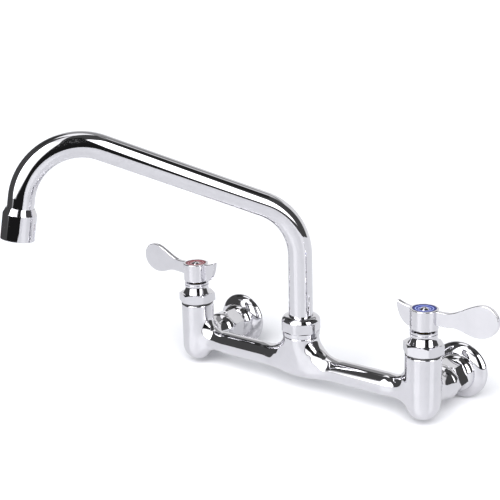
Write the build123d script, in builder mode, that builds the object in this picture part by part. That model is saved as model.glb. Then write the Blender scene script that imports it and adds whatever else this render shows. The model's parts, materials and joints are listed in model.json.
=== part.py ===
from build123d import *
from math import cos, pi, radians, sin, sqrt
import os

os.makedirs("parts", exist_ok=True)

# Millimetres, +Z up. The origin is on the wall, midway between the two supply inlets. The wall is Y = 0
# and the faucet stands out along -Y, with the hot side at -X and the cold side at +X.

# Layout
inlet_spacing = 203.2
body_standoff = 58.5  # wall to the axes of the valves and the spout
bar_rise = 2.0  # bar axis above the inlet axes

# Cast body
bar_radius = 8.75
bar_wall = 4.25
barrel_radius = 12.75
barrel_wall = 1.95
barrel_top = 31.2
barrel_bottom = -17.2
barrel_blend = 11.0
seat_height = 12.0
lower_chamber_radius = 4.6
lower_chamber_depth = 1.5  # below the supply bore
port_radius = 1.9
port_inset = 0.3
waterway_wall = 1.9
boss_top = 24.5
bar_swell = 2.6  # at the middle of the bar, under the pedestal
bar_swell_reach = 31.0
boss_flank = 21.0  # sweep of the pedestal's sides out along the bar
boss_waist_inset = 0.35  # front of the pedestal inside the swollen bar, at the bar's axis
boss_blend = 5.0
blend_margin = 1.0
socket_radius = 9.0
socket_floor = 15.0
riser_port_radius = 6.0
spigot_wall = 2.6
spigot_top = 33.0
stub_rim_radius = 12.9
stub_rim_width = 4.6
stub_neck_radius = 11.3
stub_flare_length = 4.5
stub_front = 27.0  # rim face of the inlet stubs, ahead of the wall
stub_blend = 4.0
supply_bore_radius = 5.5
union_thread_radius = 9.0
union_thread_length = 7.5

# Bonnet and its gasket
gasket_thickness = 0.7
bonnet_land = 1.9  # hex flat beyond the barrel's bore
hex_height = 7.8
neck_height = 5.4
neck_root_radius = 11.0
neck_bow = 0.35  # hollow of the neck's taper
neck_wall = 2.6
collar_lip = 0.5
collar_height = 3.2
collar_round = 0.35
bonnet_skirt_length = 4.2
bonnet_roof = 2.2
hot_bonnet_turn = 2.0
cold_bonnet_turn = 45.0

# Cartridge, discs and stem
cartridge_wall = 1.5
cartridge_neck_wall = 1.75
cartridge_upper_radius = 8.1
cartridge_flange_thickness = 2.4
cartridge_floor_gap = 0.6
cartridge_shoulder_rise = 5.2  # shoulder above the bonnet's hex seat
clip_room = 2.5
window_width = 7.0
window_height = 3.4
window_depth = 0.5
seal_bore_radius = 5.7
seal_thickness = 2.1
disc_radius = 6.9
disc_thickness = 2.5
disc_port_radius = 5.4
disc_port_angle = 70.0
disc_web_radius = 1.6
stem_radius = 4.5
stem_flange_thickness = 1.9
tang_width = 2.6
tang_length = 9.6
tang_depth = 1.2
stem_groove_depth = 1.6
stem_ring_pitch = 4.6
stem_ring_drop = 8.8  # upper groove below the cartridge's top
clip_radius = 5.9
clip_thickness = 0.8
clip_groove_depth = 0.8
clip_gap_width = 5.0
spline_count = 12
spline_shoulder = 0.55
spline_depth = 0.5
spline_length = 9.5
stem_hole_depth = 11.5

# Lever handle; heights are above the bottom of the hub, distances are outwards from its axis
handle_gap = 1.2
hub_radius = 9.8
hub_height = 14.5
hub_rim = 1.6
hub_top_round = 0.6
hub_bottom_round = 1.3
hub_wall = 2.2
hub_recess_depth = 1.6
blade_thickness = 3.4
blade_edge_round = 1.2
blade_reach = 53.5
blade_top = 24.1
blade_bottom = 1.4
blade_crest_at = 43.0
blade_tip_height = 13.7
blade_belly_at = 38.5
neck_top = 14.2
neck_end = 15.5
throat_at = 22.8
throat_height = 5.0
throat_root_height = 3.6
neck_blend = 2.2
fin_reach = 20.6
fin_tip_height = 16.8
fin_foot_at = 11.6
fin_foot_height = 0.3
fin_bulge = 2.0
fin_scoop = 0.5
fin_corner_round = 1.6
ring_thickness = 1.2
ring_rim_width = 1.9
ring_dish = 0.4
ring_bore_gap = 0.5
screw_head_radius = 3.4
screw_head_height = 1.1
screw_dome_height = 1.4
screw_shank_radius = 2.0
screw_length = 11.0
screw_slot_width = 0.7
screw_slot_length = 3.4
screw_slot_depth = 1.1

# Spout
spout_turn = -36.9  # turned to the left of straight ahead
tube_radius = 8.95
tube_wall = 1.25
riser_top = 85.7
riser_bend_radius = 44.0
run_rise = 23.4
run_length = 121.7
end_bend_radius = 39.9
outlet_tilt = 10.4  # the outlet leans outwards from straight down
outlet_length = 15.9
base_flange_inset = 0.5
base_flange_thickness = 2.4
base_floor_gap = 2.0
base_groove_depth = 1.7
base_wall = 1.4
base_ring_start = 4.2
base_ring_pitch = 6.0
base_sleeve_length = 7.0
bushing_thickness = 2.2
nut_wall = 2.7
nut_lift = 0.1  # nut above the pedestal
nut_bottom_chamfer = 0.5
nut_base_step = 0.6  # base ring inside the upper ring
nut_base_height = 3.4
nut_flat_step = 1.4  # flats of the hexagonal band inside the upper ring
nut_band_height = 7.2
nut_dome_round = 4.5
nut_roof = 2.3
nut_mouth_gap = 0.2
nut_turn = -15.0

# Aerator
aerator_wall = 2.3
aerator_flare_length = 4.2
aerator_length = 21.8
aerator_socket_depth = 9.0  # length of tube inside the housing
aerator_lip_height = 1.4
aerator_lip_width = 1.2
aerator_edge_round = 0.4
aerator_washer_thickness = 1.8
aerator_washer_width = 2.7
insert_wall = 1.3
insert_hub_radius = 2.6
insert_slot_count = 10
insert_slot_width = 1.1
screen_thickness = 0.6
screen_pitch = 2.3
screen_hole = 1.4
screen_rim = 1.0

# Coupling nut, washer and wall flange
coupling_wall = 2.7
coupling_front_gap = 0.2
coupling_lip = 2.0
coupling_washer_thickness = 1.2
nipple_wall = 2.0
nipple_collar_thickness = 2.1
nut_to_flange_gap = 0.8
flange_radius = 21.4
flange_rim_width = 1.3
flange_step_radius = 14.4
flange_step = 6.7  # crease between the outer dome and the inner one, ahead of the wall
flange_nose_radius = 11.6
flange_dome_bulge = 0.9
flange_nose_bulge = 0.7
inlet_thread_radius = 9.3
inlet_thread_floor = 2.4
hot_coupling_turn = 2.0
cold_coupling_turn = 54.0

# Fits
slip = 0.1  # around pieces that are pushed or screwed together
running = 0.05  # around a turning piece in its bearing
facing = 0.02  # between faces that slide on each other

# Derived sizes and places
valve_x = inlet_spacing / 2
body_y = -body_standoff
barrel_dome_centre = barrel_bottom + barrel_radius
chamber_radius = barrel_radius - barrel_wall
spigot_radius = socket_radius + spigot_wall
nut_bore_radius = spigot_radius + slip
nut_radius = nut_bore_radius + nut_wall
nut_base_radius = nut_radius - nut_base_step
boss_top_radius = nut_base_radius - nut_bottom_chamfer
boss_waist_radius = bar_radius + bar_swell - boss_waist_inset
boss_fall = boss_top - bar_rise - bar_radius  # from the pedestal's top to the top of the bar

hex_flat_radius = chamber_radius + bonnet_land
hex_corner_radius = hex_flat_radius / cos(radians(30))
hex_bottom = barrel_top + gasket_thickness
hex_top = hex_bottom + hex_height
collar_bottom = hex_top + neck_height
bonnet_top = collar_bottom + collar_height
flange_top = hex_bottom - bonnet_skirt_length
cartridge_shoulder = hex_bottom + cartridge_shoulder_rise
cartridge_top = bonnet_top - bonnet_roof - clip_room
cartridge_neck_radius = stem_radius + running + cartridge_neck_wall
neck_waist_radius = cartridge_neck_radius + slip + neck_wall
pocket_radius = disc_radius + 2 * slip
cartridge_radius = pocket_radius + cartridge_wall
stem_flange_radius = pocket_radius - 2 * slip
cartridge_bottom = seat_height + cartridge_floor_gap
fixed_disc_bottom = seat_height + seal_thickness
moving_disc_bottom = fixed_disc_bottom + disc_thickness + facing
stem_bottom = moving_disc_bottom + disc_thickness
shaft_bottom = stem_bottom + stem_flange_thickness
pocket_top = shaft_bottom + running
clip_bottom = cartridge_top + facing
clip_groove_radius = stem_radius - clip_groove_depth
stem_groove_radius = stem_radius - stem_groove_depth
stem_ring_section = (stem_groove_depth + running - facing) / 2
stem_ring_heights = (cartridge_top - stem_ring_drop - stem_ring_pitch, cartridge_top - stem_ring_drop)

hub_bottom = bonnet_top + handle_gap
hub_top = hub_bottom + hub_height
spline_bottom = hub_bottom + hub_recess_depth
spline_top = hub_bottom + spline_length
spline_outer_radius = stem_radius - spline_shoulder
spline_inner_radius = spline_outer_radius - spline_depth
ring_seat = hub_top - ring_thickness
screw_seat = ring_seat - screw_head_height
ring_outer_radius = hub_radius - hub_rim

tube_bore_radius = tube_radius - tube_wall
base_shank_radius = socket_radius - running
base_groove_radius = base_shank_radius - base_groove_depth
base_bore_radius = base_groove_radius - base_wall
base_ring_section = (base_groove_depth + running - facing) / 2
base_shank_bottom = socket_floor + base_floor_gap
base_flange_bottom = spigot_top + facing
base_flange_top = base_flange_bottom + base_flange_thickness
bushing_bottom = base_flange_top + facing
bushing_top = bushing_bottom + bushing_thickness
nut_bottom = boss_top + nut_lift
nut_top = bushing_top + nut_roof
nut_band_bottom = nut_bottom + nut_base_height
nut_band_top = nut_band_bottom + nut_band_height
aerator_bore_radius = tube_radius + slip
aerator_radius = aerator_bore_radius + aerator_wall
aerator_outlet = aerator_length - aerator_socket_depth
spout_heading = Vector(sin(radians(spout_turn)), -cos(radians(spout_turn)), 0)
spout_across = Vector(cos(radians(spout_turn)), sin(radians(spout_turn)), 0)

stub_neck_front = stub_front + stub_rim_width + stub_flare_length
stub_end = stub_front - union_thread_length
nipple_collar_front = stub_end - coupling_washer_thickness
nipple_collar_back = nipple_collar_front - nipple_collar_thickness
coupling_front = stub_front - coupling_front_gap
coupling_back = nipple_collar_back - coupling_lip
coupling_flat_radius = union_thread_radius + slip + coupling_wall
nipple_radius = supply_bore_radius + nipple_wall
nipple_collar_radius = union_thread_radius - slip
flange_nose = coupling_back - nut_to_flange_gap
inlet_thread_end = flange_nose - inlet_thread_floor

sides = {
    "hot": (-1, hot_bonnet_turn, hot_coupling_turn),
    "cold": (1, cold_bonnet_turn, cold_coupling_turn),
}


def upright_section(x):
    """Half plane through an upright axis, drawn as (radius, height), open to the front."""
    return Plane(origin=(x, body_y, 0), x_dir=(0, -1, 0), z_dir=(-1, 0, 0))


def upright_axis(x):
    return Axis((x, body_y, 0), (0, 0, 1))


def level(x, height):
    """Horizontal plane centred on an upright axis."""
    return Plane(origin=(x, body_y, height))


def supply_section(x):
    """Half plane through a supply axis, drawn as (radius, distance ahead of the wall)."""
    return Plane(origin=(x, 0, 0), x_dir=(0, 0, -1), z_dir=(-1, 0, 0))


def supply_axis(x):
    return Axis((x, 0, 0), (0, -1, 0))


def supply_face(x, ahead):
    """Plane square to a supply axis, facing away from the wall."""
    return Plane(origin=(x, -ahead, 0), x_dir=(1, 0, 0), z_dir=(0, -1, 0))


def outline(plane, *points):
    """A closed straight-sided profile."""
    with BuildSketch(plane) as profile:
        with BuildLine():
            Polyline(*points, close=True)
        make_face()
    return profile.sketch


def ring_outline(plane, inner, outer, bottom, top):
    return outline(plane, (inner, bottom), (outer, bottom), (outer, top), (inner, top))


def wedge_ports(plane, inner, outer, start):
    """Two facing sector openings of a disc, drawn flat."""
    with BuildSketch(plane) as ports:
        for turn in (start, start + 180):
            with BuildLine():
                near = CenterArc((0, 0), inner, turn - disc_port_angle / 2, disc_port_angle)
                far = CenterArc((0, 0), outer, turn - disc_port_angle / 2, disc_port_angle)
                Line(near @ 0, far @ 0)
                Line(near @ 1, far @ 1)
            make_face()
    return ports.sketch


def spline_section(plane, grow):
    """Toothed section of the stem's end, or of its socket when grown."""
    tooth_width = pi * spline_outer_radius / spline_count
    with BuildSketch(plane) as section:
        Circle(spline_inner_radius + grow)
        with PolarLocations(spline_inner_radius + grow, spline_count):
            Rectangle(2 * spline_depth, tooth_width + 2 * grow)
    return section.sketch


def write(piece, name):
    piece.part.label = name
    export_step(piece.part, f"parts/{name}.step")


# The cast body: bar, spout pedestal, barrels and inlet stubs in one piece, with its waterways.
with BuildPart() as faucet_body:
    with BuildSketch(Plane(origin=(0, body_y, bar_rise), x_dir=(1, 0, 0), z_dir=(0, 1, 0))):
        with BuildLine():
            swollen_radius = bar_radius + bar_swell
            half_swollen = (bar_swell_reach / 2, bar_radius + bar_swell / 2)
            rise = TangentArc((bar_swell_reach, bar_radius), half_swollen, tangent=(-1, 0))
            crest = TangentArc(half_swollen, (0, swollen_radius), tangent=rise % 1)
            mirror(rise, about=Plane.YZ)
            mirror(crest, about=Plane.YZ)
            Polyline(
                (bar_swell_reach, bar_radius),
                (valve_x, bar_radius),
                (valve_x, 0),
                (-valve_x, 0),
                (-valve_x, bar_radius),
                (-bar_swell_reach, bar_radius),
            )
        make_face()
    revolve(axis=Axis((0, body_y, bar_rise), (1, 0, 0)))
    # The pedestal is round at the top and grows into an oval that follows the bar.
    for fallen in (0.0, 0.29, 0.58, 0.87):
        height = boss_top - fallen * boss_fall
        half_width = boss_top_radius + boss_flank * (1 - sqrt(1 - fallen**2))
        narrowing = (boss_top_radius - boss_waist_radius) * (boss_top - height) / (boss_top - bar_rise)
        with BuildSketch(level(0, height)):
            Ellipse(half_width, boss_top_radius - narrowing)
    with BuildSketch(level(0, bar_rise)):
        Ellipse(half_width, boss_waist_radius)
    loft()
    joins = faucet_body.edges().filter_by(GeomType.LINE, reverse=True)
    joins = joins.filter_by(lambda edge: abs(edge.center().X) < bar_swell_reach)
    joins = joins.filter_by(lambda edge: edge.bounding_box().min.Z > bar_rise)
    joins = joins.filter_by(lambda edge: edge.bounding_box().max.Z < boss_top - blend_margin)
    fillet(joins, radius=boss_blend)
    for side in (-1, 1):
        with BuildSketch(upright_section(side * valve_x)):
            with BuildLine():
                dome = CenterArc((0, barrel_dome_centre), barrel_radius, -90, 90)
                Polyline(dome @ 1, (barrel_radius, barrel_top), (0, barrel_top), dome @ 0)
            make_face()
        revolve(axis=upright_axis(side * valve_x))
    bar_faces = faucet_body.faces().filter_by(GeomType.CYLINDER)
    bar_faces = bar_faces.filter_by(lambda face: abs(face.radius - bar_radius) < 0.001)
    joins = bar_faces.edges().filter_by(lambda edge: edge.bounding_box().size.X < valve_x / 3)
    fillet(
        joins.filter_by(lambda edge: abs(edge.center().X) > valve_x / 2),
        radius=min(barrel_blend, barrel_top - bar_rise - bar_radius - blend_margin),
    )
    for side in (-1, 1):
        with BuildSketch(supply_section(side * valve_x)):
            with BuildLine():
                neck_end_point = (stub_neck_radius, stub_neck_front)
                rim_edge = (stub_rim_radius, stub_front + stub_rim_width)
                TangentArc(neck_end_point, rim_edge, tangent=(0, -1))
                Polyline(
                    rim_edge,
                    (stub_rim_radius, stub_front),
                    (0, stub_front),
                    (0, body_standoff),
                    (stub_neck_radius, body_standoff),
                    neck_end_point,
                )
            make_face()
        revolve(axis=supply_axis(side * valve_x))
    stubs = faucet_body.faces().filter_by(GeomType.CYLINDER)
    stubs = stubs.filter_by(lambda face: abs(face.radius - stub_neck_radius) < 0.001)
    roots = stubs.edges().filter_by(GeomType.LINE, reverse=True)
    roots = roots.filter_by(lambda edge: edge.center().Y < -stub_neck_front - stub_blend / 2)
    fillet(roots, radius=stub_blend)
    with BuildSketch(level(0, boss_top)):
        Circle(spigot_radius)
    extrude(amount=spigot_top - boss_top)
    for side in (-1, 1):
        with BuildSketch(supply_face(side * valve_x, stub_front)):
            Circle(union_thread_radius)
        extrude(amount=-union_thread_length)
    for side in (-1, 1):
        with BuildSketch(level(side * valve_x, barrel_top)):
            Circle(chamber_radius)
        extrude(amount=seat_height - barrel_top, mode=Mode.SUBTRACT)
        with BuildSketch(level(side * valve_x, seat_height)):
            Circle(lower_chamber_radius)
        extrude(amount=-lower_chamber_depth - supply_bore_radius - seat_height, mode=Mode.SUBTRACT)
        with BuildSketch(supply_face(side * valve_x, stub_end)):
            Circle(supply_bore_radius)
        extrude(amount=body_standoff - stub_end, mode=Mode.SUBTRACT)
        port_x = valve_x - chamber_radius + port_radius + port_inset
        with BuildSketch(level(side * port_x, seat_height)):
            Circle(port_radius)
        extrude(amount=bar_rise - seat_height, mode=Mode.SUBTRACT)
    with BuildSketch(Plane(origin=(0, body_y, bar_rise), x_dir=(0, 0, -1), z_dir=(1, 0, 0))):
        Circle(bar_radius - bar_wall)
    extrude(amount=valve_x - supply_bore_radius - waterway_wall, both=True, mode=Mode.SUBTRACT)
    with BuildSketch(level(0, socket_floor)):
        Circle(riser_port_radius)
    extrude(amount=bar_rise - socket_floor, mode=Mode.SUBTRACT)
    with BuildSketch(level(0, spigot_top)):
        Circle(socket_radius)
    extrude(amount=socket_floor - spigot_top, mode=Mode.SUBTRACT)
write(faucet_body, "faucet_body")

# Each valve from the seat up, then its coupling to the wall
for name, (side, bonnet_turn, coupling_turn) in sides.items():
    x = side * valve_x
    section = upright_section(x)
    axis = upright_axis(x)

    with BuildPart() as seat_seal:
        profile = ring_outline(section, seal_bore_radius, disc_radius, seat_height, fixed_disc_bottom)
        revolve(profile, axis=axis)
    write(seat_seal, f"{name}_seat_seal")

    with BuildPart() as fixed_disc:
        with BuildSketch(level(x, fixed_disc_bottom)):
            Circle(disc_radius)
        extrude(amount=disc_thickness)
        ports = wedge_ports(level(x, fixed_disc_bottom), disc_web_radius, disc_port_radius, 0)
        extrude(ports, amount=disc_thickness, mode=Mode.SUBTRACT)
    write(fixed_disc, f"{name}_fixed_disc")

    # The moving disc's ports run out to its rim, and lie across the fixed ones when the valve is shut.
    with BuildPart() as moving_disc:
        with BuildSketch(level(x, moving_disc_bottom)):
            Circle(disc_radius)
        extrude(amount=disc_thickness)
        ports = wedge_ports(level(x, moving_disc_bottom), 2 * disc_web_radius, 2 * disc_radius, 90)
        extrude(ports, amount=disc_thickness, mode=Mode.SUBTRACT)
        with BuildSketch(level(x, stem_bottom)):
            Rectangle(tang_length + 2 * slip, tang_width + 2 * slip)
        extrude(amount=-tang_depth - slip, mode=Mode.SUBTRACT)
    write(moving_disc, f"{name}_moving_disc")

    # The cartridge holds the discs in its pocket and lets water out through a window on each side.
    with BuildPart() as cartridge:
        profile = outline(
            section,
            (stem_radius + running, pocket_top),
            (pocket_radius, pocket_top),
            (pocket_radius, cartridge_bottom),
            (cartridge_radius, cartridge_bottom),
            (cartridge_radius, flange_top - cartridge_flange_thickness),
            (chamber_radius - slip, flange_top - cartridge_flange_thickness),
            (chamber_radius - slip, flange_top),
            (cartridge_upper_radius, flange_top),
            (cartridge_upper_radius, cartridge_shoulder),
            (cartridge_neck_radius, cartridge_shoulder),
            (cartridge_neck_radius, cartridge_top),
            (stem_radius + running, cartridge_top),
        )
        revolve(profile, axis=axis)
        with BuildSketch(level(x, moving_disc_bottom)):
            Rectangle(3 * cartridge_radius, window_width)
            Circle(pocket_radius - window_depth, mode=Mode.SUBTRACT)
        extrude(amount=window_height, mode=Mode.SUBTRACT)
    write(cartridge, f"{name}_cartridge")

    with BuildPart() as stem:
        revolve(ring_outline(section, 0, stem_flange_radius, stem_bottom, shaft_bottom), axis=axis)
        revolve(ring_outline(section, 0, stem_radius, shaft_bottom, spline_bottom), axis=axis)
        extrude(spline_section(level(x, spline_bottom), 0), amount=spline_top - spline_bottom)
        with BuildSketch(level(x, stem_bottom)):
            Rectangle(tang_length, tang_width)
        extrude(amount=-tang_depth)
        for height in stem_ring_heights:
            groove_bottom = height - stem_ring_section
            groove_top = height + stem_ring_section
            groove = ring_outline(section, stem_groove_radius, stem_radius, groove_bottom, groove_top)
            revolve(groove, axis=axis, mode=Mode.SUBTRACT)
        clip_top = clip_bottom + clip_thickness
        groove = ring_outline(section, clip_groove_radius, stem_radius, clip_bottom, clip_top)
        revolve(groove, axis=axis, mode=Mode.SUBTRACT)
        with BuildSketch(level(x, spline_top)):
            Circle(screw_shank_radius + running)
        extrude(amount=-stem_hole_depth, mode=Mode.SUBTRACT)
    write(stem, f"{name}_stem")

    for place, height in zip(("lower", "upper"), stem_ring_heights):
        with BuildPart() as stem_o_ring:
            with BuildSketch(section):
                with Locations((stem_groove_radius + stem_ring_section, height)):
                    Circle(stem_ring_section)
            revolve(axis=axis)
        write(stem_o_ring, f"{name}_stem_o_ring_{place}")

    with BuildPart() as stem_clip:
        with BuildSketch(level(x, clip_bottom)):
            Circle(clip_radius)
            Circle(clip_groove_radius, mode=Mode.SUBTRACT)
            with Locations((0, -clip_radius)):
                Rectangle(clip_gap_width, 2 * clip_radius, mode=Mode.SUBTRACT)
        extrude(amount=clip_thickness)
    write(stem_clip, f"{name}_stem_clip")

    with BuildPart() as bonnet_gasket:
        profile = ring_outline(section, chamber_radius, hex_flat_radius, barrel_top, hex_bottom)
        revolve(profile, axis=axis)
    write(bonnet_gasket, f"{name}_bonnet_gasket")

    # The bonnet's hex is bevelled at both ends; a tapered neck and a collar stand on it.
    with BuildPart() as bonnet:
        with BuildSketch(level(x, hex_bottom)):
            RegularPolygon(hex_flat_radius, 6, major_radius=False, rotation=bonnet_turn - 90)
        extrude(amount=hex_height)
        hex_bevel = (hex_corner_radius - hex_flat_radius) / 2
        bevelled = outline(
            section,
            (0, hex_bottom),
            (hex_flat_radius, hex_bottom),
            (hex_corner_radius, hex_bottom + hex_bevel),
            (hex_corner_radius, hex_top - hex_bevel),
            (hex_flat_radius, hex_top),
            (0, hex_top),
        )
        revolve(bevelled, axis=axis, mode=Mode.INTERSECT)
        with BuildSketch(section):
            with BuildLine():
                neck_middle = ((neck_root_radius + neck_waist_radius) / 2 - neck_bow, hex_top + neck_height / 2)
                neck = ThreePointArc(
                    (neck_root_radius, hex_top),
                    neck_middle,
                    (neck_waist_radius, collar_bottom),
                )
                Polyline(
                    neck @ 1,
                    (neck_waist_radius + collar_lip, collar_bottom),
                    (neck_waist_radius + collar_lip, bonnet_top),
                    (0, bonnet_top),
                    (0, hex_top),
                    neck @ 0,
                )
            make_face()
        revolve(axis=axis)
        rims = bonnet.edges().filter_by(GeomType.CIRCLE)
        rims = rims.filter_by(lambda edge: abs(edge.radius - neck_waist_radius - collar_lip) < 0.001)
        fillet(rims, radius=collar_round)
        revolve(ring_outline(section, 0, chamber_radius - slip, flange_top, hex_bottom), axis=axis)
        bore = outline(
            section,
            (0, flange_top),
            (cartridge_upper_radius + slip, flange_top),
            (cartridge_upper_radius + slip, cartridge_shoulder + slip),
            (cartridge_neck_radius + slip, cartridge_shoulder + slip),
            (cartridge_neck_radius + slip, bonnet_top - bonnet_roof),
            (stem_radius + slip, bonnet_top - bonnet_roof),
            (stem_radius + slip, bonnet_top),
            (0, bonnet_top),
        )
        revolve(bore, axis=axis, mode=Mode.SUBTRACT)
    write(bonnet, f"{name}_bonnet")

    # The lever: an upright plate through a round hub, a long paddle outwards and a short fin opposite
    lever_plane = Plane(origin=(x, body_y, hub_bottom), x_dir=(side, 0, 0), z_dir=(0, -side, 0))
    crest = (blade_crest_at, blade_top)
    belly = (blade_belly_at, blade_bottom)
    throat = (throat_at, throat_height)
    rise_middle = ((neck_end + blade_crest_at) / 2, (neck_top + blade_top) / 2)
    fall_middle = ((throat_at + blade_belly_at) / 2, (throat_height + blade_bottom) / 2)
    fin_root = (-hub_radius, neck_top)
    fin_tip = (-fin_reach, fin_tip_height)
    fin_foot = (-fin_foot_at, fin_foot_height)
    fin_middle = (-(fin_reach + fin_foot_at) / 2, (fin_tip_height + fin_foot_height) / 2)
    scoop = (-(hub_radius + fin_reach) / 2, (neck_top + fin_tip_height) / 2 - fin_scoop)
    with BuildPart() as handle:
        with BuildSketch(lever_plane) as plate:
            with BuildLine():
                Polyline(fin_root, (0, neck_top), (neck_end, neck_top))
                rise = TangentArc((neck_end, neck_top), rise_middle, tangent=(1, 0))
                TangentArc(rise_middle, crest, tangent=rise % 1)
                tip_centre = (blade_crest_at, blade_tip_height)
                tip_width = blade_reach - blade_crest_at
                tip_rise = blade_top - blade_tip_height
                EllipticalCenterArc(tip_centre, tip_width, tip_rise, start_angle=0, arc_size=90)
                Spline((blade_reach, blade_tip_height), belly, tangents=((0, -1), (-1, 0)))
                fall = TangentArc(belly, fall_middle, tangent=(-1, 0))
                TangentArc(fall_middle, throat, tangent=fall % 1)
                root = TangentArc(throat, (hub_radius, throat_root_height), tangent=(-1, 0))
                Polyline(root @ 1, (0, throat_root_height), (-hub_radius / 2, fin_foot_height), fin_foot)
                ThreePointArc(fin_foot, (fin_middle[0] - fin_bulge, fin_middle[1] - fin_bulge), fin_tip)
                ThreePointArc(fin_tip, scoop, fin_root)
            make_face()
            fillet(plate.vertices().sort_by(Axis.X)[0], radius=fin_corner_round)
            fillet(plate.vertices().group_by(Axis.Y)[0].sort_by(Axis.X)[0], radius=fin_corner_round)
        extrude(amount=blade_thickness / 2, both=True)
        rims = handle.faces().filter_by(Axis.Y).edges()
        fillet(
            rims.filter_by(lambda edge: abs(edge.center().X - x) > hub_radius / 2),
            radius=blade_edge_round,
        )
        # A short flare widens the paddle's neck where it leaves the hub.
        flare_height = (neck_top + throat_root_height) / 2
        for outwards, spread in ((-0.5, 2), (0.15, 0.8), (1, -0.05)):
            flare_plane = Plane(
                origin=(x + side * (hub_radius + outwards * neck_blend), body_y, hub_bottom),
                x_dir=(0, side, 0),
                z_dir=(side, 0, 0),
            )
            with BuildSketch(flare_plane):
                with Locations((0, flare_height)):
                    width = blade_thickness + spread * neck_blend
                    RectangleRounded(width, neck_top - throat_root_height - slip, blade_edge_round)
        loft()
        with BuildSketch(section) as hub_outline:
            with BuildLine():
                hub_base = (hub_radius, hub_bottom)
                Polyline((0, hub_bottom), hub_base, (hub_radius, hub_top), (0, hub_top), close=True)
            make_face()
            corners = hub_outline.vertices().group_by(Axis.X)[-1].sort_by(Axis.Y)
            fillet(corners[0], radius=hub_bottom_round)
            fillet(corners[1], radius=hub_top_round)
        revolve(axis=axis)
        hollow = outline(
            section,
            (0, hub_bottom),
            (hub_radius - hub_wall, hub_bottom),
            (hub_radius - hub_wall, spline_bottom),
            (0, spline_bottom),
        )
        revolve(hollow, axis=axis, mode=Mode.SUBTRACT)
        socket = spline_section(level(x, spline_bottom), running)
        extrude(socket, amount=spline_top + slip - spline_bottom, mode=Mode.SUBTRACT)
        hollow = outline(
            section,
            (0, spline_bottom),
            (screw_shank_radius + slip, spline_bottom),
            (screw_shank_radius + slip, screw_seat),
            (screw_head_radius + slip, screw_seat),
            (screw_head_radius + slip, ring_seat),
            (ring_outer_radius + slip, ring_seat),
            (ring_outer_radius + slip, hub_top),
            (0, hub_top),
        )
        revolve(hollow, axis=axis, mode=Mode.SUBTRACT)
    write(handle, f"{name}_handle")

    with BuildPart() as handle_screw:
        with BuildSketch(section):
            with BuildLine():
                dome_base = screw_seat + screw_head_height
                dome = RadiusArc(
                    (screw_head_radius, dome_base),
                    (0, dome_base + screw_dome_height),
                    -(screw_head_radius**2 + screw_dome_height**2) / (2 * screw_dome_height),
                )
                Polyline(
                    dome @ 1,
                    (0, screw_seat - screw_length),
                    (screw_shank_radius, screw_seat - screw_length),
                    (screw_shank_radius, screw_seat),
                    (screw_head_radius, screw_seat),
                    dome @ 0,
                )
            make_face()
        revolve(axis=axis)
        with BuildSketch(level(x, dome_base + screw_dome_height)):
            Rectangle(screw_slot_length, screw_slot_width)
            Rectangle(screw_slot_width, screw_slot_length)
        extrude(amount=-screw_slot_depth, mode=Mode.SUBTRACT)
    write(handle_screw, f"{name}_handle_screw")

    with BuildPart() as index_ring:
        profile = outline(
            section,
            (screw_head_radius + ring_bore_gap, ring_seat),
            (ring_outer_radius, ring_seat),
            (ring_outer_radius, hub_top),
            (ring_outer_radius - ring_rim_width, hub_top),
            (ring_outer_radius - ring_rim_width - ring_dish, hub_top - ring_dish),
            (screw_head_radius + ring_bore_gap, hub_top - ring_dish),
        )
        revolve(profile, axis=axis)
    write(index_ring, f"{name}_index_ring")

    # The wall flange: a stepped dome with the supply thread behind and a union nipple in front
    supply = supply_section(x)
    with BuildPart() as inlet_flange:
        with BuildSketch(supply):
            with BuildLine():
                rim = (flange_radius, flange_rim_width)
                step = (flange_step_radius, flange_step)
                nose = (flange_nose_radius, flange_nose)
                dome = (
                    (rim[0] + step[0]) / 2 + flange_dome_bulge,
                    (rim[1] + step[1]) / 2 + flange_dome_bulge,
                )
                ThreePointArc(rim, dome, step)
                swell = (
                    (step[0] + nose[0]) / 2 + flange_nose_bulge,
                    (step[1] + nose[1]) / 2 + flange_nose_bulge / 2,
                )
                ThreePointArc(step, swell, nose)
                Polyline(
                    nose,
                    (nipple_radius, flange_nose),
                    (nipple_radius, nipple_collar_back),
                    (nipple_collar_radius, nipple_collar_back),
                    (nipple_collar_radius, nipple_collar_front),
                    (supply_bore_radius, nipple_collar_front),
                    (supply_bore_radius, inlet_thread_end),
                    (inlet_thread_radius, inlet_thread_end),
                    (inlet_thread_radius, 0),
                    (flange_radius, 0),
                    rim,
                )
            make_face()
        revolve(axis=supply_axis(x))
    write(inlet_flange, f"{name}_inlet_flange")

    with BuildPart() as coupling_washer:
        washer_outer = union_thread_radius - slip
        profile = ring_outline(supply, supply_bore_radius, washer_outer, nipple_collar_front, stub_end)
        revolve(profile, axis=supply_axis(x))
    write(coupling_washer, f"{name}_coupling_washer")

    with BuildPart() as coupling_nut:
        with BuildSketch(supply_face(x, coupling_back)):
            RegularPolygon(coupling_flat_radius, 6, major_radius=False, rotation=coupling_turn)
        extrude(amount=coupling_front - coupling_back)
        coupling_corner_radius = coupling_flat_radius / cos(radians(30))
        bevel = (coupling_corner_radius - coupling_flat_radius) / 2
        bevelled = outline(
            supply,
            (0, coupling_back),
            (coupling_flat_radius, coupling_back),
            (coupling_corner_radius, coupling_back + bevel),
            (coupling_corner_radius, coupling_front - bevel),
            (coupling_flat_radius, coupling_front),
            (0, coupling_front),
        )
        revolve(bevelled, axis=supply_axis(x), mode=Mode.INTERSECT)
        hollow = outline(
            supply,
            (0, coupling_back),
            (nipple_radius + slip, coupling_back),
            (nipple_radius + slip, nipple_collar_back),
            (union_thread_radius + slip, nipple_collar_back),
            (union_thread_radius + slip, coupling_front),
            (0, coupling_front),
        )
        revolve(hollow, axis=supply_axis(x), mode=Mode.SUBTRACT)
    write(coupling_nut, f"{name}_coupling_nut")

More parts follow.
